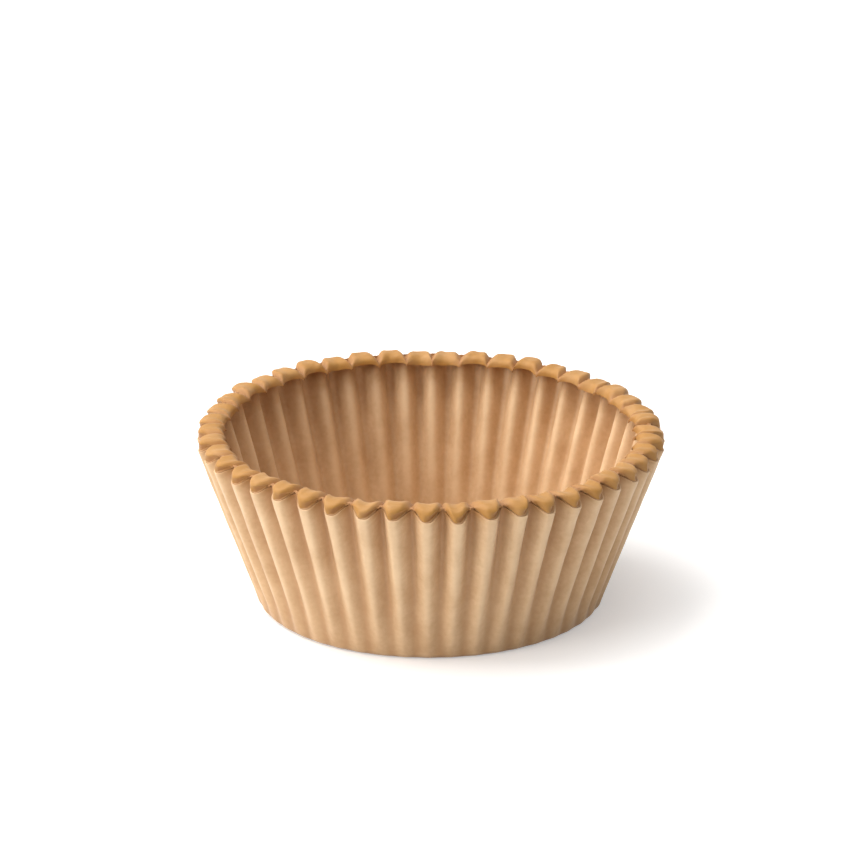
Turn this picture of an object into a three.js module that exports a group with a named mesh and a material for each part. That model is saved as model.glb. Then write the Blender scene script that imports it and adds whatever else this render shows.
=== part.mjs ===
// Paper baking cup: a fluted wall on a flat round floor, with a rim rolled inwards.
//
// One piece of paper. Every point of its outer side lies between two profiles, one along the
// crests of the flutes and one along their valleys. The inner side is the outer side moved
// inwards by the thickness of the paper. Millimetres, +Z up, origin at the centre of the
// underside, and the crest of the first flute faces -Y.

import * as THREE from "three";
import { mergeVertices } from "three/addons/utils/BufferGeometryUtils.js";

// Overall sizes
const BASE_DIAMETER = 50; // flat floor with its foot fold
const MOUTH_DIAMETER = 67.6; // across the cut edge of the wall, on the crests
const EDGE_HEIGHT = 23.9; // cut edge of the wall above the table, on the crests

// Paper
const PLY = 0.25; // one ply: the rolled rim is one ply thick, the wall and floor are two

// Flutes of the wall
const FLUTES = 46;
const FLUTE_DEPTH_EDGE = 2.0; // crest to valley at the cut edge
const FLUTE_DEPTH_FOOT = 0.3; // crest to valley where the wall leaves the floor
const FLUTE_SHARPNESS = 1.3; // 1 is an even wave, more makes the valleys narrower
const FLUTE_ONSET = 0.85; // below 1 the flutes deepen sooner above the foot
const FLUTE_TURN = -0.9; // degrees that the first crest is turned away from -Y
const FLUTE_DRIFT = 1.95; // degrees by which the spacing wanders round the cup

// Foot fold between the floor and the wall
const FOOT_FOLD = 0.8;

// Cut edge of the outer ply and the rim rolled inwards above it
const EDGE_WAVE = 1.2; // the cut edge lies this much higher in the valleys
const EDGE_STEP = 0.1; // slope of the cut edge from the outer side to the inner ply
const ROLL_RADIUS_CREST = 1.75;
const ROLL_RADIUS_VALLEY = 0.8;
const ROLL_BULGE_CREST = 0.2; // how far the roll stands outside the cut edge
const ROLL_BULGE_VALLEY = -0.25;
const ROLL_RISE_CREST = 0.75; // centre of the roll above the cut edge
const ROLL_RISE_VALLEY = 0.35;
const ROLL_START = -10; // degrees, 0 is straight outwards
const ROLL_END = 155;

// How finely the paper is divided
const STEPS_PER_FLUTE = 6;
const WALL_STEPS = 2;
const ROLL_STEPS = 4;

const WALL = 2 * PLY;
const SEGMENTS = FLUTES * STEPS_PER_FLUTE;
const { degToRad, lerp } = THREE.MathUtils;

// A station is one ring of the outer side: its radius and height on a crest and in a valley,
// and the thickness of the paper there. inner says whether the inner side has the ring too.
function station(crest, valley, thickness, inner = true) {
  return { crest, valley, thickness, inner };
}

function level(r, z) {
  return station([r, z], [r, z], WALL);
}

// Rings of the straight wall, from the foot fold to the cut edge.
function wallStations() {
  const foot = [BASE_DIAMETER / 2, FOOT_FOLD];
  const edge = [MOUTH_DIAMETER / 2, EDGE_HEIGHT];
  const rings = [];
  for (let i = 0; i <= WALL_STEPS; i++) {
    const up = i / WALL_STEPS;
    const r = lerp(foot[0], edge[0], up);
    const z = lerp(foot[1], edge[1], up);
    const depth = lerp(FLUTE_DEPTH_FOOT, FLUTE_DEPTH_EDGE, up ** FLUTE_ONSET);
    rings.push(station([r, z], [r - depth, z + EDGE_WAVE * up], WALL));
  }
  return rings;
}

// Rings of the rolled rim: arcs that start one ply inside the cut edge and end at the tip.
function rollStations(edge) {
  const centre = {
    crest: [
      edge.crest[0] + ROLL_BULGE_CREST - ROLL_RADIUS_CREST,
      edge.crest[1] + ROLL_RISE_CREST,
    ],
    valley: [
      edge.valley[0] + ROLL_BULGE_VALLEY - ROLL_RADIUS_VALLEY,
      edge.valley[1] + ROLL_RISE_VALLEY,
    ],
  };
  const onArc = ([r, z], radius, angle) => [
    r + radius * Math.cos(angle),
    z + radius * Math.sin(angle),
  ];
  const rings = [
    station(
      [edge.crest[0] - PLY, edge.crest[1] + EDGE_STEP],
      [edge.valley[0] - PLY, edge.valley[1] + EDGE_STEP],
      PLY,
      false,
    ),
  ];
  for (let i = 0; i <= ROLL_STEPS; i++) {
    const angle = degToRad(lerp(ROLL_START, ROLL_END, i / ROLL_STEPS));
    rings.push(
      station(
        onArc(centre.crest, ROLL_RADIUS_CREST, angle),
        onArc(centre.valley, ROLL_RADIUS_VALLEY, angle),
        PLY,
      ),
    );
  }
  return rings;
}

const wall = wallStations();
const STATIONS = [
  level(0, 0),
  level(BASE_DIAMETER / 2 - FOOT_FOLD, 0),
  ...wall,
  ...rollStations(wall.at(-1)),
];

// A point of the outer side, at a station and an angle round the cup.
function outerPoint(ring, turn) {
  const dip = ((1 - Math.cos(FLUTES * turn)) / 2) ** FLUTE_SHARPNESS;
  const r = lerp(ring.crest[0], ring.valley[0], dip);
  const z = lerp(ring.crest[1], ring.valley[1], dip);
  const drift = degToRad(FLUTE_TURN) - degToRad(FLUTE_DRIFT) * (1 - Math.cos(turn));
  const angle = turn + drift;
  return new THREE.Vector3(r * Math.sin(angle), -r * Math.cos(angle), z);
}

// The same point moved inwards, square to the paper, by its thickness there.
function innerPoint(index, turn) {
  const ring = STATIONS[index];
  const here = outerPoint(ring, turn);
  if (index === 0) return here.setZ(here.z + ring.thickness);
  const turnStep = Math.PI / SEGMENTS;
  const around = outerPoint(ring, turn + turnStep).sub(outerPoint(ring, turn - turnStep));
  const previous = STATIONS[index - 1].inner ? STATIONS[index - 1] : ring;
  const next = STATIONS[index + 1]?.inner ? STATIONS[index + 1] : ring;
  const along = outerPoint(next, turn).sub(outerPoint(previous, turn));
  const inwards = along.cross(around).normalize();
  return here.addScaledVector(inwards, ring.thickness);
}

// The paper's section is an open loop with both ends on the axis: out along the outer side of
// the paper, from the floor to the tip of the roll, and back along the inner side. Each entry
// gives its point for an angle round the cup.
function sectionLoop() {
  const outer = STATIONS.map((ring) => (turn) => outerPoint(ring, turn));
  const inner = STATIONS.map((ring, index) => (turn) => innerPoint(index, turn));
  return [...outer, ...inner.filter((_, index) => STATIONS[index].inner).reverse()];
}

// A lathe gives the rings and faces; each of its vertices is then set to its place in the flutes.
function cupGeometry() {
  const loop = sectionLoop();
  const profile = loop.map((pointAt) => {
    const p = pointAt(0);
    return new THREE.Vector2(Math.hypot(p.x, p.y), p.z);
  });
  const lathe = new THREE.LatheGeometry(profile, SEGMENTS);
  lathe.deleteAttribute("normal");
  lathe.deleteAttribute("uv");
  const position = lathe.getAttribute("position");
  for (let k = 0; k < position.count; k++) {
    const segment = Math.floor(k / loop.length) % SEGMENTS;
    const turn = (2 * Math.PI * segment) / SEGMENTS;
    const p = loop[k % loop.length](turn);
    position.setXYZ(k, p.x, p.y, p.z);
  }
  const merged = mergeVertices(lathe, 1e-4);
  const faces = merged.index.array;
  const kept = [];
  for (let k = 0; k < faces.length; k += 3) {
    const [a, b, c] = [faces[k], faces[k + 1], faces[k + 2]];
    if (a !== b && b !== c && c !== a) kept.push(a, b, c);
  }
  merged.setIndex(kept);
  merged.computeVertexNormals();
  return merged;
}

const kraftPaper = new THREE.MeshStandardMaterial({
  name: "kraft_paper",
  color: 0xc89c6c,
  roughness: 0.72,
  metalness: 0,
});

const cup = new THREE.Mesh(cupGeometry(), kraftPaper);
cup.name = "baking_cup";

const part = new THREE.Group();
part.add(cup);

export default part;
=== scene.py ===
"""Paper baking cup: two pressed plies of fluted kraft paper with a rolled rim.

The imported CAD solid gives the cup's size. Both plies are made by one Geometry Nodes
rule: a flat grid is bent into floor, foot fold, fluted wall and rolled rim.
"""

from __future__ import annotations

import logging
import math
from collections.abc import Iterable
from dataclasses import dataclass
from enum import Enum
from typing import Union

import bpy
from mathutils import Matrix, Vector

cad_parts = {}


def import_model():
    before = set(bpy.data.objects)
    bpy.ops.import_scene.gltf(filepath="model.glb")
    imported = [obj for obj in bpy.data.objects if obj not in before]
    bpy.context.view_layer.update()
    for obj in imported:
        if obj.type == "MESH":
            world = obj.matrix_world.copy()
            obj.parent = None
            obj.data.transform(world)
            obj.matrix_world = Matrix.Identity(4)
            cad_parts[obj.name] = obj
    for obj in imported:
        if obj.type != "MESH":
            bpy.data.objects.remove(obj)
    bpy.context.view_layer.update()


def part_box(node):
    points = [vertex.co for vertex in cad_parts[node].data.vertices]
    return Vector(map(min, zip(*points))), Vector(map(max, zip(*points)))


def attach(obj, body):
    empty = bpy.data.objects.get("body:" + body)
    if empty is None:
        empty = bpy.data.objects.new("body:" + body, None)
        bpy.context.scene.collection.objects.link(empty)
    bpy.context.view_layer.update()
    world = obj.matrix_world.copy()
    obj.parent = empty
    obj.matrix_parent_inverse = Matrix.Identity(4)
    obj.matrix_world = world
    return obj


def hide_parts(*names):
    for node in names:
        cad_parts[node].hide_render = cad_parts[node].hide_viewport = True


LOG = logging.getLogger("baking_cup")
MM = 0.001
CUP_NODE = "baking_cup"

Number = Union["Field", float, int]
Colour = tuple[float, float, float]
WHITE: Colour = (1.0, 1.0, 1.0)
WARM_WHITE: Colour = (1.0, 0.98, 0.95)


class Field:
    """A number that varies over the paper, with Python's arithmetic on it."""

    def __init__(self, tree: bpy.types.NodeTree, socket: bpy.types.NodeSocket) -> None:
        """Holds the output socket that carries the number.

        Args:
            tree: The node tree that the socket is in.
            socket: A float output of one of its nodes.
        """
        self.tree = tree
        self.socket = socket

    def math(self, operation: str, *others: Number) -> Field:
        """Runs one Math node on this number.

        Args:
            operation: The Math node's operation.
            others: Its other operands, in order.

        Returns:
            The result as a new field.
        """
        return math_node(self.tree, operation, self, *others)

    def __add__(self, other: Number) -> Field:
        """Sum."""
        return self.math("ADD", other)

    def __sub__(self, other: Number) -> Field:
        """Difference."""
        return self.math("SUBTRACT", other)

    def __rsub__(self, other: Number) -> Field:
        """Difference with a plain number on the left."""
        return math_node(self.tree, "SUBTRACT", other, self)

    def __mul__(self, other: Number) -> Field:
        """Product."""
        return self.math("MULTIPLY", other)

    def __truediv__(self, other: Number) -> Field:
        """Quotient."""
        return self.math("DIVIDE", other)

    def __pow__(self, other: Number) -> Field:
        """Power."""
        return self.math("POWER", other)


def math_node(tree: bpy.types.NodeTree, operation: str, *operands: Number) -> Field:
    """Adds one Math node.

    Args:
        tree: The node tree to add it to.
        operation: The Math node's operation.
        operands: Fields or plain numbers, in the node's order.

    Returns:
        The node's result.
    """
    node = tree.nodes.new("ShaderNodeMath")
    node.operation = operation
    for socket, operand in zip(node.inputs, operands):
        plug(tree, socket, operand)
    return Field(tree, node.outputs[0])


def plug(tree: bpy.types.NodeTree, socket: bpy.types.NodeSocket, value: object) -> None:
    """Feeds an input socket with a field, an output socket or a plain value.

    Args:
        tree: The node tree that both ends are in.
        socket: The input to feed.
        value: What to feed it with.
    """
    if isinstance(value, Field):
        tree.links.new(value.socket, socket)
    elif isinstance(value, bpy.types.NodeSocket):
        tree.links.new(value, socket)
    else:
        socket.default_value = value


class Ply(Enum):
    """The two sheets of the cup."""

    OUTER = "outer_ply"
    INNER = "inner_ply"


@dataclass(frozen=True)
class CupSizes:
    """Sizes of the pressed cup, in metres and radians."""

    rim_radius: float
    height: float
    base_radius: float = 25.1 * MM
    foot_fold: float = 1.4 * MM
    ply: float = 0.17 * MM
    ply_gap: float = 0.03 * MM
    flutes: int = 46
    flute_depth_edge: float = 2.0 * MM
    flute_depth_foot: float = 0.12 * MM
    flute_onset: float = 0.7
    flute_sharpness_foot: float = 0.8
    flute_sharpness_edge: float = 1.75
    flute_turn: float = math.radians(-0.9)
    flute_drift: float = math.radians(1.95)
    edge_wave: float = 1.2 * MM
    roll_width_crest: float = 2.05 * MM
    roll_height_crest: float = 1.45 * MM
    roll_width_valley: float = 1.35 * MM
    roll_height_valley: float = 0.12 * MM
    roll_drop_valley: float = 0.9 * MM
    roll_start: float = math.radians(-22.0)
    roll_end: float = math.radians(178.0)
    roll_squareness: float = 0.78
    hollow: float = 0.35 * MM
    headroom: float = 0.15 * MM

    @classmethod
    def from_frame(cls) -> CupSizes:
        """Takes the rim and the height from the CAD cup.

        Returns:
            The sizes that make the visual cup fill the CAD cup's box.
        """
        low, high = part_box(CUP_NODE)
        height = high.z - low.z - cls.headroom
        return cls(rim_radius=(high.x - low.x) / 2, height=height)

    @property
    def edge_radius(self) -> float:
        """Radius of the outer ply's cut edge on a crest."""
        out = math.cos(self.roll_start) ** self.roll_squareness
        bulge = self.roll_width_crest * (1 - out)
        return self.rim_radius - bulge + self.ply

    @property
    def edge_height(self) -> float:
        """Height of the outer ply's cut edge on a crest."""
        below = abs(math.sin(self.roll_start)) ** self.roll_squareness
        return self.height - self.roll_height_crest * (1 + below)

    @property
    def wall_lean(self) -> float:
        """Angle of the wall from upright, along a crest."""
        return math.atan2(self.edge_radius - self.base_radius, self.edge_height)


@dataclass(frozen=True)
class Unevenness:
    """How far pressed paper strays from the even rule, in metres and radians."""

    crest_out: float = 0.16 * MM
    crest_turn: float = math.radians(0.45)
    valley_turn: float = math.radians(0.3)
    edge_height: float = 0.22 * MM
    edge_tilt: float = 0.3 * MM
    cap_turn: float = math.radians(0.9)
    cap_height: float = 0.3 * MM
    crumple: float = 0.4 * MM
    crumple_grain: float = 4.0 * MM
    foot_crumple: float = 0.3 * MM
    cap_crumple: float = 0.32 * MM
    cap_grain: float = 1.4 * MM
    floor_pleat_outer: float = 0.03 * MM
    floor_pleat_inner: float = 0.18 * MM
    seed: int = 7


class Zone(Enum):
    """Zones of the paper, from the middle of the floor outwards."""

    FLOOR = "floor"
    FOLD = "fold"
    WALL = "wall"
    ROLL = "roll"


@dataclass(frozen=True)
class SheetRows:
    """Rows of the grid in each zone of the paper, from the middle of the floor outwards."""

    floor: int
    fold: int
    wall: int
    roll: int

    @property
    def total(self) -> int:
        """All rows."""
        return sum(getattr(self, zone.value) for zone in Zone)

    def span(self, zone: Zone) -> tuple[float, float]:
        """Part of the grid that a zone takes.

        Args:
            zone: The zone.

        Returns:
            Its start and end, from 0 in the middle of the floor to 1 at the paper's edge.
        """
        zones = list(Zone)
        before = sum(getattr(self, earlier.value) for earlier in zones[: zones.index(zone)])
        return before / self.total, (before + getattr(self, zone.value)) / self.total


class Salt(Enum):
    """What a random number is for, so that no two uses share their draws."""

    CREST_OUT = 1
    EDGE_HEIGHT = 2
    CAP_HEIGHT = 3
    CREST_TURN = 4
    VALLEY_TURN = 5
    CAP_TURN = 6


@dataclass(frozen=True)
class Bands:
    """Where small forms, tints and painted shade start and end, each as a part of its zone.

    The pleats and the floor's painted shade are on the floor. The crumples at the foot, the
    painted shade of the grooves inside, the corners of the cut edge and the lower side of the
    slit's painted shade are on the wall. The upper side of the slit's painted shade, the hollows
    and the crumples of the caps are on the roll.
    """

    pleat: tuple[float, float] = (0.8, 1.0)
    floor_shade: tuple[float, float] = (0.7, 1.0)
    foot: tuple[float, float] = (0.0, 0.22)
    groove: tuple[float, float] = (0.85, 0.96)
    corner: tuple[float, float] = (0.955, 0.985)
    slit_wall: tuple[float, float] = (0.98, 1.0)
    slit_roll: tuple[float, float] = (0.0, 0.06)
    hollow_in: tuple[float, float] = (0.0, 0.08)
    hollow_out: tuple[float, float] = (0.18, 0.3)
    cap: tuple[float, float] = (0.0, 0.2)


@dataclass(frozen=True)
class Sheet:
    """Numbers over the flat sheet: how far it is through each zone, and its place in a flute."""

    turn: Field
    floor: Field
    fold: Field
    wall: Field
    roll: Field
    phase: Field
    dip: Field
    crest: Field
    crest_number: Field
    valley_number: Field
    behind: Field


class FluteRule:
    """Geometry Nodes rule that bends a flat grid into one ply of the cup."""

    COLUMNS_PER_FLUTE = 18
    SHARP_EDGE = math.radians(60.0)
    MERGE_DISTANCE = 0.001 * MM
    # Powers that crowd the rows towards the cut edge and the front of the roll.
    WALL_ROW_BIAS = 1.6
    ROLL_ROW_BIAS = 1.35
    # Powers that shape the caps of the rim: their width, how soon the flutes turn into them,
    # and how they fall off towards the valleys.
    CAP_WIDTH = 0.75
    CAP_ONSET = 0.5
    CAP_FALL = 1.6
    # The hollow at one side of each cap, which is pushed in and darkened with painted shadow: its
    # place in the flute, in radians, and its width.
    HOLLOW_TURN = 1.1
    HOLLOW_WIDTH = 0.8
    # How strongly the grooves inside are darkened with painted shade and the corners of the cut
    # edge are tinted with the caps' colour, and the power by which the slit's painted shade fades
    # towards the valleys.
    GROOVE_SHADE = 0.6
    CORNER_TINT = 0.08
    SLIT_FADE = 0.5
    # Grain of the short crumples at the foot and of the caps' dents inwards, in parts of the
    # grain of the soft crumples and of the caps' dents downwards.
    SHORT_GRAIN = 0.35
    PUSHED_GRAIN = 1.3
    INPUTS = {
        "NodeSocketFloat": (
            "Base radius", "Foot fold", "Wall length", "Wall lean", "Edge wave",
            "Depth at edge", "Depth at foot", "Onset", "Sharpness at edge", "Sharpness at foot",
            "Turn", "Drift", "Roll crest width", "Roll crest height", "Roll valley width",
            "Roll valley height", "Roll valley drop", "Roll start", "Roll end",
            "Roll squareness", "Inset", "Hollow", "Floor pleat", "Crumple",
        ),
        "NodeSocketInt": ("Flutes", "Seed"),
        "NodeSocketMaterial": ("Paper",),
    }

    def __init__(self, rows: SheetRows, uneven: Unevenness, name: str) -> None:
        """Builds the tree.

        Args:
            rows: Rows of the grid by zone.
            uneven: How far the paper strays from the even rule.
            name: The tree's name.
        """
        self.rows = rows
        self.uneven = uneven
        self.bands = Bands()
        self.tree = bpy.data.node_groups.new(name, "GeometryNodeTree")
        interface = self.tree.interface
        self.sockets = {
            label: interface.new_socket(label, in_out="INPUT", socket_type=kind)
            for kind, labels in self.INPUTS.items()
            for label in labels
        }
        interface.new_socket("Geometry", in_out="OUTPUT", socket_type="NodeSocketGeometry")
        self.entry = self.tree.nodes.new("NodeGroupInput")
        self._build()

    def _node(self, kind: str, **inputs: object) -> bpy.types.Node:
        """Adds a node and feeds its inputs.

        Args:
            kind: The node's type.
            inputs: What to feed, by the input's name with underscores for spaces.

        Returns:
            The node.
        """
        node = self.tree.nodes.new(kind)
        for label, value in inputs.items():
            plug(self.tree, node.inputs[label.replace("_", " ")], value)
        return node

    def _given(self, label: str) -> Field:
        """One of the rule's named inputs."""
        return Field(self.tree, self.entry.outputs[label])

    def _portion(self, value: Field, start: float, end: float) -> Field:
        """How far a value has come between two limits.

        Args:
            value: The value.
            start: Where it counts as 0.
            end: Where it counts as 1.

        Returns:
            The portion, from 0 to 1.
        """
        node = self.tree.nodes.new("ShaderNodeMapRange")
        plug(self.tree, node.inputs["Value"], value)
        plug(self.tree, node.inputs["From Min"], start)
        plug(self.tree, node.inputs["From Max"], end)
        return Field(self.tree, node.outputs["Result"])

    def _eased(self, value: Field, start: float, end: float) -> Field:
        """How far a value has come between two limits, with soft ends.

        Args:
            value: The value.
            start: Where it counts as 0.
            end: Where it counts as 1.

        Returns:
            The eased portion, from 0 to 1.
        """
        portion = self._portion(value, start, end)
        portion.socket.node.interpolation_type = "SMOOTHSTEP"
        return portion

    def _squared(self, angle: Field, wave: str) -> Field:
        """A wave with squarer arches, which gives the rolled paper soft creases.

        Args:
            angle: Its angle.
            wave: SINE or COSINE.

        Returns:
            The wave, from -1 to 1.
        """
        value = angle.math(wave)
        return value.math("ABSOLUTE") ** self._given("Roll squareness") * value.math("SIGN")

    def _chance(self, number: Field, salt: Salt) -> Field:
        """A random number from -1 to 1 for each whole number.

        Args:
            number: The whole number, such as a flute's place round the cup.
            salt: What the random number is for.

        Returns:
            The random number.
        """
        node = self.tree.nodes.new("FunctionNodeRandomValue")
        node.data_type = "FLOAT"
        # Each data type has its own Min, Max and Value, so those for floats go by number.
        node.inputs[2].default_value = -1.0
        node.inputs[3].default_value = 1.0
        plug(self.tree, node.inputs["ID"], number)
        plug(self.tree, node.inputs["Seed"], self._given("Seed") + salt.value)
        return Field(self.tree, node.outputs[1])

    def _noise(self, vector: bpy.types.NodeSocket, grain: float, detail: float) -> Field:
        """Smooth noise about 0.

        Args:
            vector: Where it is read.
            grain: Size of its bumps.
            detail: Octaves of finer bumps.

        Returns:
            The noise, from about -0.5 to 0.5.
        """
        node = self._node("ShaderNodeTexNoise", Vector=vector, Scale=1 / grain, Detail=detail)
        return Field(self.tree, node.outputs["Fac"]) - 0.5

    def _build(self) -> None:
        """Lays out the whole rule."""
        grid = self._node(
            "GeometryNodeMeshGrid",
            Vertices_X=self._given("Flutes") * self.COLUMNS_PER_FLUTE + 1,
            Vertices_Y=self.rows.total + 1,
        )
        sheet = self._zones()
        radius, height = self._wall_profile(sheet)
        radius, height = self._rolled(sheet, radius, height)
        radius, height, turned = self._strayed(sheet, radius, height)
        place = self._crumpled(sheet, radius, height, turned)
        marked = self._marked(grid.outputs["Mesh"], sheet)
        shaped = self._node("GeometryNodeSetPosition", Geometry=marked, Position=place)
        self._finish(shaped.outputs[0])

    def _zones(self) -> Sheet:
        """Divides the flat grid into zones and flutes.

        Returns:
            The numbers over the sheet that all other steps use.
        """
        tree, given = self.tree, self._given
        place = tree.nodes.new("GeometryNodeInputPosition").outputs[0]
        split = self._node("ShaderNodeSeparateXYZ", Vector=place)
        turn = Field(tree, split.outputs["X"]) * math.tau
        along = Field(tree, split.outputs["Y"]) + 0.5
        floor, fold, wall, roll = (self._portion(along, *self.rows.span(zone)) for zone in Zone)
        wall = 1 - (1 - wall) ** self.WALL_ROW_BIAS

        # Which flute this is, and how deep in its valley.
        flutes = given("Flutes")
        phase = turn * flutes
        half_sine = (phase * 0.5).math("SINE").math("ABSOLUTE")
        half_cosine = (phase * 0.5).math("COSINE").math("ABSOLUTE")
        foot_sharpness = given("Sharpness at foot")
        sharpness = foot_sharpness + (given("Sharpness at edge") - foot_sharpness) * wall
        wall_dip = half_sine ** (sharpness * 2)
        roll_dip = 1 - half_cosine**self.CAP_WIDTH
        dip = wall_dip + (roll_dip - wall_dip) * roll**self.CAP_ONSET
        number = phase / math.tau
        return Sheet(
            turn=turn,
            floor=floor,
            fold=fold,
            wall=wall,
            roll=roll,
            phase=phase,
            dip=dip,
            crest=1 - dip,
            crest_number=((number + 0.5).math("FLOOR") + flutes).math("MODULO", flutes),
            valley_number=(number.math("FLOOR") + flutes).math("MODULO", flutes),
            behind=given("Inset").math("GREATER_THAN", 0.0),
        )

    def _wall_profile(self, sheet: Sheet) -> tuple[Field, Field]:
        """Bends the sheet into floor, foot fold and fluted wall.

        Args:
            sheet: The numbers over the sheet.

        Returns:
            Its radius and height.
        """
        given, wall, dip = self._given, sheet.wall, sheet.dip
        lean = given("Wall lean")
        bend = sheet.fold * (math.pi / 2 - lean)
        fold_radius = given("Foot fold")
        up = wall * given("Wall length")
        radius = (
            sheet.floor * (given("Base radius") - fold_radius)
            + bend.math("SINE") * fold_radius
            + up * lean.math("SINE")
        )
        height = (1 - bend.math("COSINE")) * fold_radius + up * lean.math("COSINE")

        # The flutes deepen up the wall and run out in pleats on the floor.
        foot_depth = given("Depth at foot")
        deepening = (given("Depth at edge") - foot_depth) * wall ** given("Onset")
        radius = radius - (foot_depth * sheet.fold + deepening) * dip
        height = height + given("Edge wave") * wall * dip
        pleat = self._eased(sheet.floor, *self.bands.pleat) * dip
        return radius, height + pleat * given("Floor pleat")

    def _rolled(self, sheet: Sheet, radius: Field, height: Field) -> tuple[Field, Field]:
        """Rolls the rim inwards, full on the crests and pressed flat in the valleys.

        Args:
            sheet: The numbers over the sheet.
            radius: Its radius so far.
            height: Its height so far.

        Returns:
            The new radius and height.
        """
        given, dip = self._given, sheet.dip
        crest_width, crest_height = given("Roll crest width"), given("Roll crest height")
        width = crest_width + (given("Roll valley width") - crest_width) * dip
        fall = (given("Roll valley height") - crest_height) * dip**self.CAP_FALL
        start = given("Roll start")
        angle = start + (given("Roll end") - start) * sheet.roll**self.ROLL_ROW_BIAS
        out = self._squared(angle, "COSINE") - self._squared(start, "COSINE")
        over = self._squared(angle, "SINE") - self._squared(start, "SINE")
        past_top = angle.math("GREATER_THAN", math.pi / 2) * (1 - angle.math("SINE"))
        height = height + over * (crest_height + fall)
        return radius + out * width, height - past_top * dip * given("Roll valley drop")

    def _strayed(self, sheet: Sheet, radius: Field, height: Field) -> tuple[Field, Field, Field]:
        """Lets no two flutes come out alike.

        Args:
            sheet: The numbers over the sheet.
            radius: Its radius so far.
            height: Its height so far.

        Returns:
            The new radius and height, and the angle round the cup.
        """
        given, uneven, turn = self._given, self.uneven, sheet.turn
        on_wall = sheet.crest * sheet.wall
        on_edge = on_wall * sheet.wall * sheet.wall * sheet.wall
        on_cap = sheet.crest * sheet.roll
        crests, valleys = sheet.crest_number, sheet.valley_number
        radius = radius + self._chance(crests, Salt.CREST_OUT) * on_wall * uneven.crest_out
        height = height + self._chance(crests, Salt.EDGE_HEIGHT) * on_edge * uneven.edge_height
        height = height + self._chance(crests, Salt.CAP_HEIGHT) * on_cap * uneven.cap_height
        height = height - turn.math("SINE") * sheet.wall * uneven.edge_tilt
        in_valley = sheet.dip * sheet.wall
        turned = (
            turn
            + given("Turn")
            - given("Drift") * (1 - turn.math("COSINE"))
            + self._chance(crests, Salt.CREST_TURN) * on_wall * uneven.crest_turn
            + self._chance(valleys, Salt.VALLEY_TURN) * in_valley * uneven.valley_turn
            + self._chance(crests, Salt.CAP_TURN) * on_cap * uneven.cap_turn
        )
        return radius, height, turned

    def _crumpled(
        self, sheet: Sheet, radius: Field, height: Field, turned: Field
    ) -> bpy.types.NodeSocket:
        """Adds soft crumples, short ones at the foot and small ones on the caps.

        Args:
            sheet: The numbers over the sheet.
            radius: Its radius.
            height: Its height.
            turned: Its angle round the cup.

        Returns:
            The place of each point.
        """
        uneven, crumple = self.uneven, self._given("Crumple")
        even = self._spot(radius, height, turned)
        foot = sheet.fold * (1 - self._portion(sheet.wall, *self.bands.foot))
        grain = uneven.crumple_grain
        cap_grain = uneven.cap_grain
        soft = self._noise(even, grain, detail=2.0) * sheet.wall * uneven.crumple
        short = self._noise(even, grain * self.SHORT_GRAIN, detail=1.0)
        short = short * foot * uneven.foot_crumple
        on_cap = self._eased(sheet.roll, *self.bands.cap) * uneven.cap_crumple
        dented = self._noise(even, cap_grain, detail=1.5) * on_cap
        pushed = self._noise(even, cap_grain * self.PUSHED_GRAIN, detail=1.0) * on_cap
        radius = radius + (soft + short + pushed) * crumple
        return self._spot(radius, height + dented * crumple, turned)

    def _spot(self, radius: Field, height: Field, turned: Field) -> bpy.types.NodeSocket:
        """The point at a radius, a height and an angle round the cup.

        Args:
            radius: Its distance from the axis.
            height: Its height.
            turned: Its angle, where 0 is to the front.

        Returns:
            The point.
        """
        node = self.tree.nodes.new("ShaderNodeCombineXYZ")
        across = turned.math("SINE") * radius
        back = turned.math("COSINE") * -1 * radius
        for socket, value in zip(node.inputs, (across, back, height)):
            plug(self.tree, socket, value)
        return node.outputs[0]

    def _marked(self, mesh: bpy.types.NodeSocket, sheet: Sheet) -> bpy.types.NodeSocket:
        """Keeps on the points what the paper's colour, with its painted shade and painted
        highlight, and the hollows need.

        Args:
            mesh: The flat grid.
            sheet: The numbers over it.

        Returns:
            The grid with its marks.
        """
        bands, wall, roll, dip = self.bands, sheet.wall, sheet.roll, sheet.dip
        # These marks drive the painted shade in the valleys, the grooves inside, the hollows and
        # the slit, and the painted highlight on the crests.
        inside = sheet.behind * (1 - self._portion(wall, *bands.groove))
        groove = dip + inside * (sheet.crest * self.GROOVE_SHADE - dip)
        corner = self._portion(wall, *bands.corner) * dip
        slit = self._portion(wall, *bands.slit_wall) * (1 - self._portion(roll, *bands.slit_roll))
        lens = (sheet.phase - self.HOLLOW_TURN).math("COSINE").math("MAXIMUM", 0.0)
        around = self._eased(roll, *bands.hollow_in) * (1 - self._eased(roll, *bands.hollow_out))
        marks = {
            "fold": groove * self._eased(sheet.floor, *bands.floor_shade),
            "roll": roll + corner * self.CORNER_TINT,
            "wall": wall,
            "hollow": lens**self.HOLLOW_WIDTH * around,
            "slit": slit * sheet.behind * sheet.crest**self.SLIT_FADE,
        }
        for label, value in marks.items():
            mesh = self._store(mesh, label, value)
        return mesh

    def _finish(self, mesh: bpy.types.NodeSocket) -> None:
        """Closes the bent sheet, sets it in its place and dresses it.

        Args:
            mesh: The bent sheet.
        """
        closed = self._node(
            "GeometryNodeMergeByDistance", Geometry=mesh, Distance=self.MERGE_DISTANCE
        )
        inset = self._inset(closed.outputs[0])
        smooth = self._node("GeometryNodeSetShadeSmooth", Geometry=inset)
        real = self._node("GeometryNodeRealizeInstances", Geometry=smooth.outputs[0])
        dressed = self._node(
            "GeometryNodeSetMaterial", Geometry=real.outputs[0], Material=self._given("Paper")
        )
        leave = self.tree.nodes.new("NodeGroupOutput")
        self.tree.links.new(dressed.outputs[0], leave.inputs["Geometry"])

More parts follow.
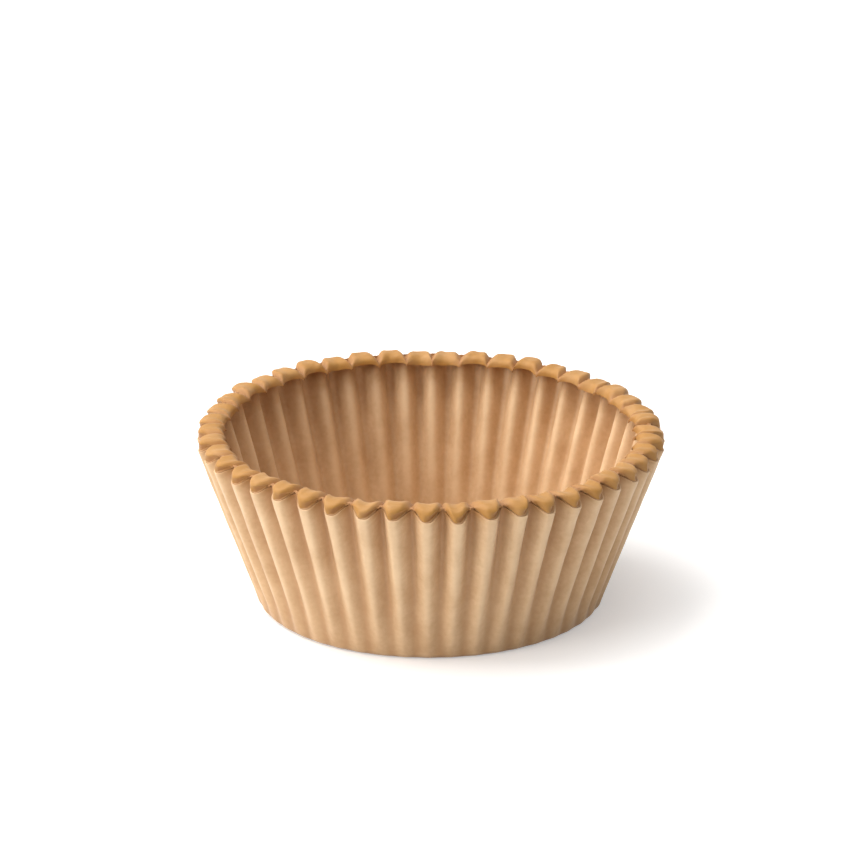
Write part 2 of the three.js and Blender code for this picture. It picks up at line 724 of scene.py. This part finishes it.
    def _store(self, mesh: bpy.types.NodeSocket, label: str, value: Field) -> bpy.types.NodeSocket:
        """Keeps a field on the mesh's points.

        Args:
            mesh: The geometry to keep it on.
            label: The attribute's name.
            value: The field.

        Returns:
            The geometry with the attribute.
        """
        node = self._node("GeometryNodeStoreNamedAttribute", Geometry=mesh, Name=label)
        node.data_type = "FLOAT"
        node.domain = "POINT"
        plug(self.tree, node.inputs["Value"], value)
        return node.outputs[0]

    def _read(self, label: str) -> Field:
        """A number that the rule kept on the mesh's points.

        Args:
            label: The attribute's name.

        Returns:
            The number.
        """
        node = self._node("GeometryNodeInputNamedAttribute", Name=label)
        node.data_type = "FLOAT"
        return Field(self.tree, node.outputs["Attribute"])

    def _inset(self, mesh: bpy.types.NodeSocket) -> bpy.types.NodeSocket:
        """Moves the ply inwards, square to the paper, and deeper in the hollows of the rim.

        Args:
            mesh: The bent sheet.

        Returns:
            The sheet in its place.
        """
        tree = self.tree
        shift = (self._given("Inset") + self._given("Hollow") * self._read("hollow")) * -1
        normal = tree.nodes.new("GeometryNodeInputNormal").outputs[0]
        scaled = tree.nodes.new("ShaderNodeVectorMath")
        scaled.operation = "SCALE"
        plug(tree, scaled.inputs[0], normal)
        plug(tree, scaled.inputs["Scale"], shift)
        moved = self._node("GeometryNodeSetPosition", Geometry=mesh, Offset=scaled.outputs[0])
        return moved.outputs[0]

    def make(self, name: str, values: dict[str, object], thickness: float) -> bpy.types.Object:
        """Runs the rule once and gives the ply its thickness.

        Args:
            name: The finished piece's name.
            values: Each named input's value.
            thickness: Of the paper.

        Returns:
            A plain mesh object.
        """
        blank = bpy.data.objects.new(name, bpy.data.meshes.new(name))
        bpy.context.scene.collection.objects.link(blank)
        rule = blank.modifiers.new("flute_rule", "NODES")
        rule.node_group = self.tree
        for label, value in values.items():
            rule[self.sockets[label].identifier] = value
        shell = blank.modifiers.new("thickness", "SOLIDIFY")
        shell.thickness = thickness
        shell.offset = -1.0
        evaluated = blank.evaluated_get(bpy.context.evaluated_depsgraph_get())
        mesh = bpy.data.meshes.new_from_object(evaluated)
        blank.modifiers.clear()
        blank.data = mesh
        mesh.name = name
        mesh.set_sharp_from_angle(angle=self.SHARP_EDGE)
        return blank


@dataclass(frozen=True)
class KraftPaper:
    """Finish of the greaseproof kraft paper: mottled tan fibres with a slight sheen."""

    name: str = "kraft_paper"
    roughness: float = 0.55
    sheen: float = 0.08
    specular: float = 0.35

    # Colours of the paper, of the painted shade in its folds, hollows and slit, of the rim's caps
    # and of the painted highlight on the crests.
    pale: Colour = (0.70, 0.475, 0.272)
    tan: Colour = (0.55, 0.34, 0.175)
    crease_shade: Colour = (0.34, 0.155, 0.055)
    cap: Colour = (0.39, 0.185, 0.038)
    crest_highlight: Colour = (0.74, 0.535, 0.33)

    # Patterns, in bumps to a metre, and how much the patches and fibres vary the colour.
    mottle_scale: float = 220.0
    fibre_scale: float = 1600.0
    dent_scale: float = 700.0
    dent_stretch: tuple[float, float, float] = (1.0, 1.0, 0.35)
    mottle_share: float = 1.8
    fibre_share: float = 0.9

    # How fast each tint, painted shade and painted highlight sets in along the paper, how narrow
    # it is and how strong.
    cap_ramp: float = 12.0
    cap_most: float = 1.3
    cap_mottle: float = 0.7
    highlight_ramp: float = 4.0
    highlight_power: float = 7.0
    valley_power: float = 1.9
    valley_shade: float = 0.5
    valley_rim_power: float = 4.0
    valley_rim_shade: float = 0.35
    hollow_shade: float = 0.8

    # Relief of the paper's surface.
    bump: float = 0.7
    bump_height: float = 0.12 * MM
    bump_fibre: float = 0.4

    def build(self) -> bpy.types.Material:
        """Makes the material.

        Returns:
            The material, with its patterns on Object coordinates.
        """
        material = bpy.data.materials.new(self.name)
        material.use_nodes = True
        tree = material.node_tree
        shader = tree.nodes["Principled BSDF"]
        shader.inputs["Roughness"].default_value = self.roughness
        shader.inputs["Sheen Weight"].default_value = self.sheen
        shader.inputs["Specular IOR Level"].default_value = self.specular
        where = tree.nodes.new("ShaderNodeTexCoord").outputs["Object"]
        mottle = self._noise(tree, where, self.mottle_scale, detail=3.0)
        fibre = self._noise(tree, where, self.fibre_scale, detail=2.0)
        plug(tree, shader.inputs["Base Color"], self._colour(tree, mottle, fibre))
        plug(tree, shader.inputs["Normal"], self._relief(tree, where, fibre))
        return material

    def _colour(
        self, tree: bpy.types.NodeTree, mottle: Field, fibre: Field
    ) -> bpy.types.NodeSocket:
        """Mottled paper, deeper on the caps, with painted shade in the folds, hollows and slit and
        a painted highlight along the crests.

        Args:
            tree: The material's tree.
            mottle: Noise of the patches.
            fibre: Noise of the fibres.

        Returns:
            The colour.
        """
        fold, roll, wall, hollow, slit = (
            self._kept(tree, label) for label in ("fold", "roll", "wall", "hollow", "slit")
        )
        patches = (mottle - 0.5) * self.mottle_share + (fibre - 0.5) * self.fibre_share + 0.5
        paper = self._mix(tree, patches, self.tan, self.pale)
        on_rim = (roll * self.cap_ramp).math("MINIMUM", 1.0)
        strength = self.cap_most - mottle * self.cap_mottle
        capped = self._mix(tree, on_rim * strength, paper, self.cap)
        # Painted highlight: a pale line along each crest of the wall, kept off the rim.
        on_wall = (wall * self.highlight_ramp).math("MINIMUM", 1.0) * (1 - on_rim)
        crest = (1 - fold) ** self.highlight_power * mottle * on_wall
        crest_highlight = self._mix(tree, crest, capped, self.crest_highlight)
        # Painted shade: darker in the valleys, more so near the rim, with painted shadow in the
        # hollows and the slit.
        near_rim = wall**self.valley_rim_power * self.valley_rim_shade
        valley = fold**self.valley_power * (near_rim + self.valley_shade)
        shade = valley.math("MAXIMUM", hollow * self.hollow_shade).math("MAXIMUM", slit)
        return self._mix(tree, shade, crest_highlight, self.crease_shade)

    def _relief(
        self, tree: bpy.types.NodeTree, where: bpy.types.NodeSocket, fibre: Field
    ) -> bpy.types.NodeSocket:
        """Fibres and small upright dents in the paper's surface.

        Args:
            tree: The material's tree.
            where: The place on the paper.
            fibre: Noise of the fibres.

        Returns:
            The bumped normal.
        """
        bump = tree.nodes.new("ShaderNodeBump")
        bump.inputs["Strength"].default_value = self.bump
        bump.inputs["Distance"].default_value = self.bump_height
        stretch = tree.nodes.new("ShaderNodeMapping")
        stretch.inputs["Scale"].default_value = self.dent_stretch
        plug(tree, stretch.inputs["Vector"], where)
        dent = self._noise(tree, stretch.outputs[0], self.dent_scale, detail=1.0)
        plug(tree, bump.inputs["Height"], fibre * self.bump_fibre + dent)
        return bump.outputs[0]

    @staticmethod
    def _noise(
        tree: bpy.types.NodeTree, where: bpy.types.NodeSocket, scale: float, detail: float
    ) -> Field:
        """Noise at a scale.

        Args:
            tree: The material's tree.
            where: The place on the paper.
            scale: Its bumps to a metre.
            detail: Octaves of finer bumps.

        Returns:
            The noise, from 0 to 1.
        """
        node = tree.nodes.new("ShaderNodeTexNoise")
        plug(tree, node.inputs["Vector"], where)
        node.inputs["Scale"].default_value = scale
        node.inputs["Detail"].default_value = detail
        return Field(tree, node.outputs["Fac"])

    @staticmethod
    def _kept(tree: bpy.types.NodeTree, label: str) -> Field:
        """A number that the flute rule kept on the paper's points.

        Args:
            tree: The material's tree.
            label: The number's name.

        Returns:
            The number.
        """
        node = tree.nodes.new("ShaderNodeAttribute")
        node.attribute_name = label
        return Field(tree, node.outputs["Fac"])

    @staticmethod
    def _mix(
        tree: bpy.types.NodeTree,
        factor: Field,
        low: Colour | bpy.types.NodeSocket,
        high: Colour | bpy.types.NodeSocket,
    ) -> bpy.types.NodeSocket:
        """A colour between two.

        Args:
            tree: The material's tree.
            factor: 0 for the first colour, 1 for the second.
            low: The first, as a socket or three numbers.
            high: The second, as a socket or three numbers.

        Returns:
            The mixed colour.
        """
        node = tree.nodes.new("ShaderNodeMix")
        node.data_type = "RGBA"
        plug(tree, node.inputs["Factor"], factor)
        # Each data type has its own A, B and Result, so those for colours go by number.
        for socket, colour in ((node.inputs[6], low), (node.inputs[7], high)):
            plug(tree, socket, (*colour, 1.0) if isinstance(colour, tuple) else colour)
        return node.outputs[2]


@dataclass
class BakingCup:
    """The cup: an outer ply up to its cut edge, and an inner ply with the rolled rim."""

    sizes: CupSizes
    uneven: Unevenness
    paper: KraftPaper

    def build(self) -> list[bpy.types.Object]:
        """Makes both plies, on the CAD cup's body and in its place.

        Returns:
            The two pieces.
        """
        material = self.paper.build()
        pieces = [self._ply(ply, material) for ply in Ply]
        for piece in pieces:
            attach(piece, "root")
            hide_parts(CUP_NODE)
        return pieces

    def _ply(self, ply: Ply, material: bpy.types.Material) -> bpy.types.Object:
        """Makes one ply.

        Args:
            ply: Which of the two.
            material: Its paper.

        Returns:
            The piece.
        """
        inner = ply is Ply.INNER
        rows = SheetRows(floor=10, fold=6, wall=16, roll=24 if inner else 0)
        rule = FluteRule(rows, self.uneven, f"flute_rule_{ply.value}")
        return rule.make(ply.value, self._values(inner, material), self.sizes.ply)

    def _values(self, inner: bool, material: bpy.types.Material) -> dict[str, object]:
        """Values of the rule's named inputs.

        Args:
            inner: Whether this is the inner ply.
            material: The paper.

        Returns:
            The value of each input by its name.
        """
        sizes, uneven = self.sizes, self.uneven
        lean = sizes.wall_lean
        fold_rise = sizes.foot_fold * (1 - math.sin(lean))
        wall_length = (sizes.edge_height - fold_rise) / math.cos(lean)
        inner_only = {
            "Roll crest width": sizes.roll_width_crest,
            "Roll crest height": sizes.roll_height_crest,
            "Roll valley width": sizes.roll_width_valley,
            "Roll valley height": sizes.roll_height_valley,
            "Roll valley drop": sizes.roll_drop_valley,
            "Inset": sizes.ply + sizes.ply_gap,
            "Hollow": sizes.hollow,
        }
        if not inner:
            inner_only = dict.fromkeys(inner_only, 0.0)
        return {
            **inner_only,
            "Base radius": sizes.base_radius,
            "Foot fold": sizes.foot_fold,
            "Wall length": wall_length,
            "Wall lean": lean,
            "Flutes": sizes.flutes,
            "Depth at edge": sizes.flute_depth_edge,
            "Depth at foot": sizes.flute_depth_foot,
            "Onset": sizes.flute_onset,
            "Sharpness at edge": sizes.flute_sharpness_edge,
            "Sharpness at foot": sizes.flute_sharpness_foot,
            "Turn": sizes.flute_turn,
            "Drift": sizes.flute_drift,
            "Edge wave": sizes.edge_wave,
            "Roll start": sizes.roll_start,
            "Roll end": sizes.roll_end,
            "Roll squareness": sizes.roll_squareness,
            "Floor pleat": uneven.floor_pleat_inner if inner else uneven.floor_pleat_outer,
            "Crumple": 1.0,
            "Seed": uneven.seed,
            "Paper": material,
        }


@dataclass(frozen=True)
class PhotoView:
    """The photograph's camera, solved from the rim and foot of the cup."""

    elevation: float = math.radians(20.5)
    distance: float = 1100.0 * MM
    aim_height: float = 25.5 * MM
    sensor: float = 36.0
    focal: float = 321.0
    roll: float = math.radians(-0.15)
    clip: tuple[float, float] = (0.05, 20.0)

    def place(self) -> None:
        """Makes the scene's camera."""
        data = bpy.data.cameras.new("photo_view")
        data.lens = self.focal
        data.sensor_width = self.sensor
        data.clip_start, data.clip_end = self.clip
        camera = bpy.data.objects.new("photo_view", data)
        aim = Vector((0.0, 0.0, self.aim_height))
        back = Vector((0.0, -math.cos(self.elevation), math.sin(self.elevation)))
        turned = (-back).to_track_quat("-Z", "Y").to_matrix().to_4x4()
        camera.matrix_world = (
            Matrix.Translation(aim + back * self.distance)
            @ turned
            @ Matrix.Rotation(self.roll, 4, "Z")
        )
        bpy.context.scene.collection.objects.link(camera)
        bpy.context.scene.camera = camera


@dataclass(frozen=True)
class SoftLamp:
    """One square soft box, aimed at the middle of the cup."""

    name: str
    place: tuple[float, float, float]
    size: float
    power: float
    colour: Colour = WHITE

    def hang(self, aim: Vector) -> None:
        """Hangs the lamp.

        Args:
            aim: The point that it faces.
        """
        data = bpy.data.lights.new(self.name, "AREA")
        data.size = self.size
        data.energy = self.power
        data.color = self.colour
        lamp = bpy.data.objects.new(self.name, data)
        lamp.location = self.place
        lamp.rotation_euler = (aim - lamp.location).to_track_quat("-Z", "Y").to_euler()
        bpy.context.scene.collection.objects.link(lamp)


@dataclass(frozen=True)
class Studio:
    """White table, white background and soft light from the upper left."""

    lamps: tuple[SoftLamp, ...] = (
        SoftLamp("key", (-0.42, 0.10, 0.62), size=0.75, power=6.8, colour=WARM_WHITE),
        SoftLamp("side", (-0.68, -0.48, 0.32), size=0.40, power=3.3, colour=WARM_WHITE),
        SoftLamp("top", (-0.05, 0.0, 0.80), size=0.60, power=2.8),
    )
    world_light: float = 0.35
    lamp_aim: float = 12.0 * MM
    table_size: float = 6.0
    table_roughness: float = 0.9
    table_white: float = 0.80
    table_glow: float = 0.35

    def build(self) -> None:
        """Makes the table, the background and the lamps."""
        self._table()
        self._world()
        for lamp in self.lamps:
            lamp.hang(Vector((0.0, 0.0, self.lamp_aim)))

    def _table(self) -> None:
        """A plain pale table that keeps the cup's shadow."""
        bpy.ops.mesh.primitive_plane_add(size=self.table_size)
        table = bpy.context.object
        table.name = "table"
        material = bpy.data.materials.new("table_white")
        material.use_nodes = True
        tree = material.node_tree
        shader = tree.nodes["Principled BSDF"]
        shader.inputs["Roughness"].default_value = self.table_roughness
        shader.inputs["Specular IOR Level"].default_value = 0.0
        white = self.table_white
        shader.inputs["Base Color"].default_value = (white, white, white, 1.0)
        shader.inputs["Emission Color"].default_value = (*WHITE, 1.0)
        plug(tree, shader.inputs["Emission Strength"], seen_directly(tree) * self.table_glow)
        table.data.materials.append(material)

    def _world(self) -> None:
        """A white background that lights the cup only softly."""
        world = bpy.data.worlds.new("studio")
        bpy.context.scene.world = world
        world.use_nodes = True
        tree = world.node_tree
        background = tree.nodes["Background"]
        background.inputs["Color"].default_value = (*WHITE, 1.0)
        seen = seen_directly(tree)
        level = seen * (1.0 - self.world_light) + self.world_light
        plug(tree, background.inputs["Strength"], level)


def seen_directly(tree: bpy.types.NodeTree) -> Field:
    """Whether a ray shows the surface itself: from the camera, or in gloss or glass.

    Args:
        tree: The shader tree that asks.

    Returns:
        1 where it does, else 0.
    """
    path = tree.nodes.new("ShaderNodeLightPath")
    camera, glossy, through = (
        Field(tree, path.outputs[label])
        for label in ("Is Camera Ray", "Is Glossy Ray", "Is Transmission Ray")
    )
    return camera.math("MAXIMUM", glossy).math("MAXIMUM", through)


def main() -> None:
    """Builds the cup, the studio and the camera around the frame."""
    logging.basicConfig(level=logging.INFO, format="%(name)s: %(message)s")
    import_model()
    cup = BakingCup(CupSizes.from_frame(), Unevenness(), KraftPaper())
    for piece in cup.build():
        LOG.info("%s: %d faces", piece.name, len(piece.data.polygons))
    Studio().build()
    PhotoView().place()
    bpy.context.scene.view_settings.view_transform = "Standard"


if __name__ == "__main__":
    main()
